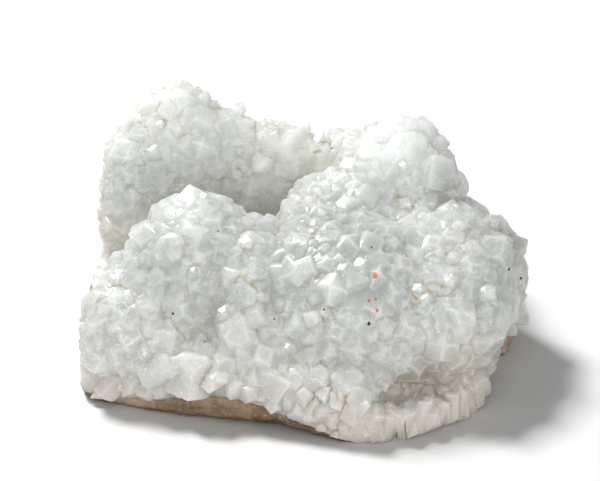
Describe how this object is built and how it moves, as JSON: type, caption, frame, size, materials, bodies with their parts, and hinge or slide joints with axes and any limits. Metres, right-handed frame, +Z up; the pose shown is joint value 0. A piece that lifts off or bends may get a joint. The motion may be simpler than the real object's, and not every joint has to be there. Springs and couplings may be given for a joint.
{
  "type": "rough apophyllite",
  "caption": "Rough mineral specimen: pale translucent blocky crystals grown together in mounds and a wall over a thin rind of tan host rock, resting on a flat broken underside.",
  "frame": {"origin": "on the flat underside, below the middle of the bounding box", "axes": "+Z up; +X to the right and +Y away, seen from the side with the front ledge; the specimen is longest along X and lowest along Z"},
  "size_m": [0.1227, 0.0924, 0.0633],
  "materials": {
    "crystal": "milky translucent, pale greenish white, glossy facets",
    "matrix": "dull rough tan-brown host rock"
  },
  "bodies": {
    "root": {"crystal_druse": "crystal", "matrix_rind": "matrix"}
  },
  "joints": []
}
